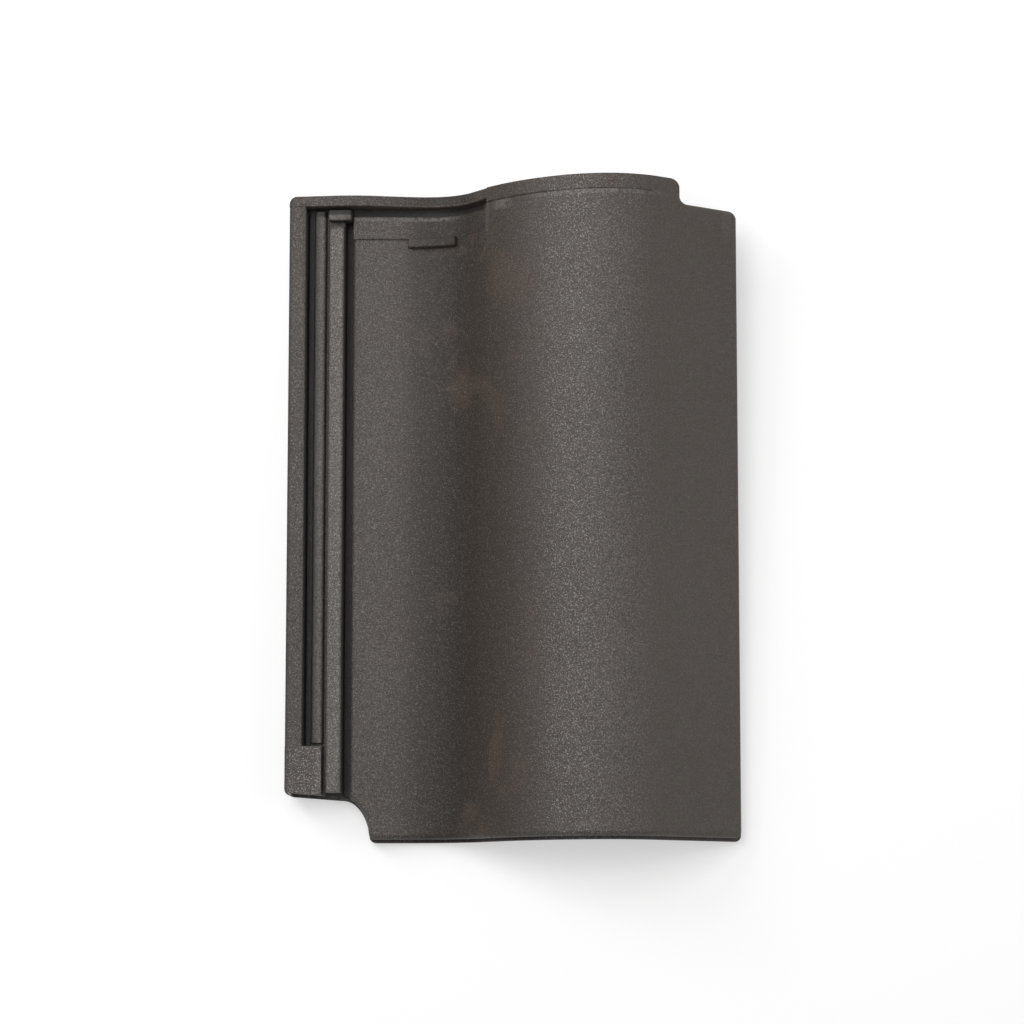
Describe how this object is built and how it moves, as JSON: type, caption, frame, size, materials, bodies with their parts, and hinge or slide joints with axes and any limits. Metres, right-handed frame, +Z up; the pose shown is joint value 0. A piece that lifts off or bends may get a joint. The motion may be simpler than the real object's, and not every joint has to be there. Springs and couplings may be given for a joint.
{
  "type": "interlocking clay roof tile",
  "caption": "Interlocking fired clay roof tile with a flat pan, a roman roll and a side water lock, in a dark brown-grey matt slip finish.",
  "frame": {"origin": "middle of the bounding box in X and Y, on the floor that the tile lies on", "axes": "+X from the side lock to the cover roll, +Y from the foot to the head, +Z up with the weather face up"},
  "size_m": [0.2612, 0.3788, 0.0863],
  "materials": {
    "dark_clay": "matt"
  },
  "bodies": {
    "root": {"roof_tile": "dark_clay"}
  },
  "joints": []
}
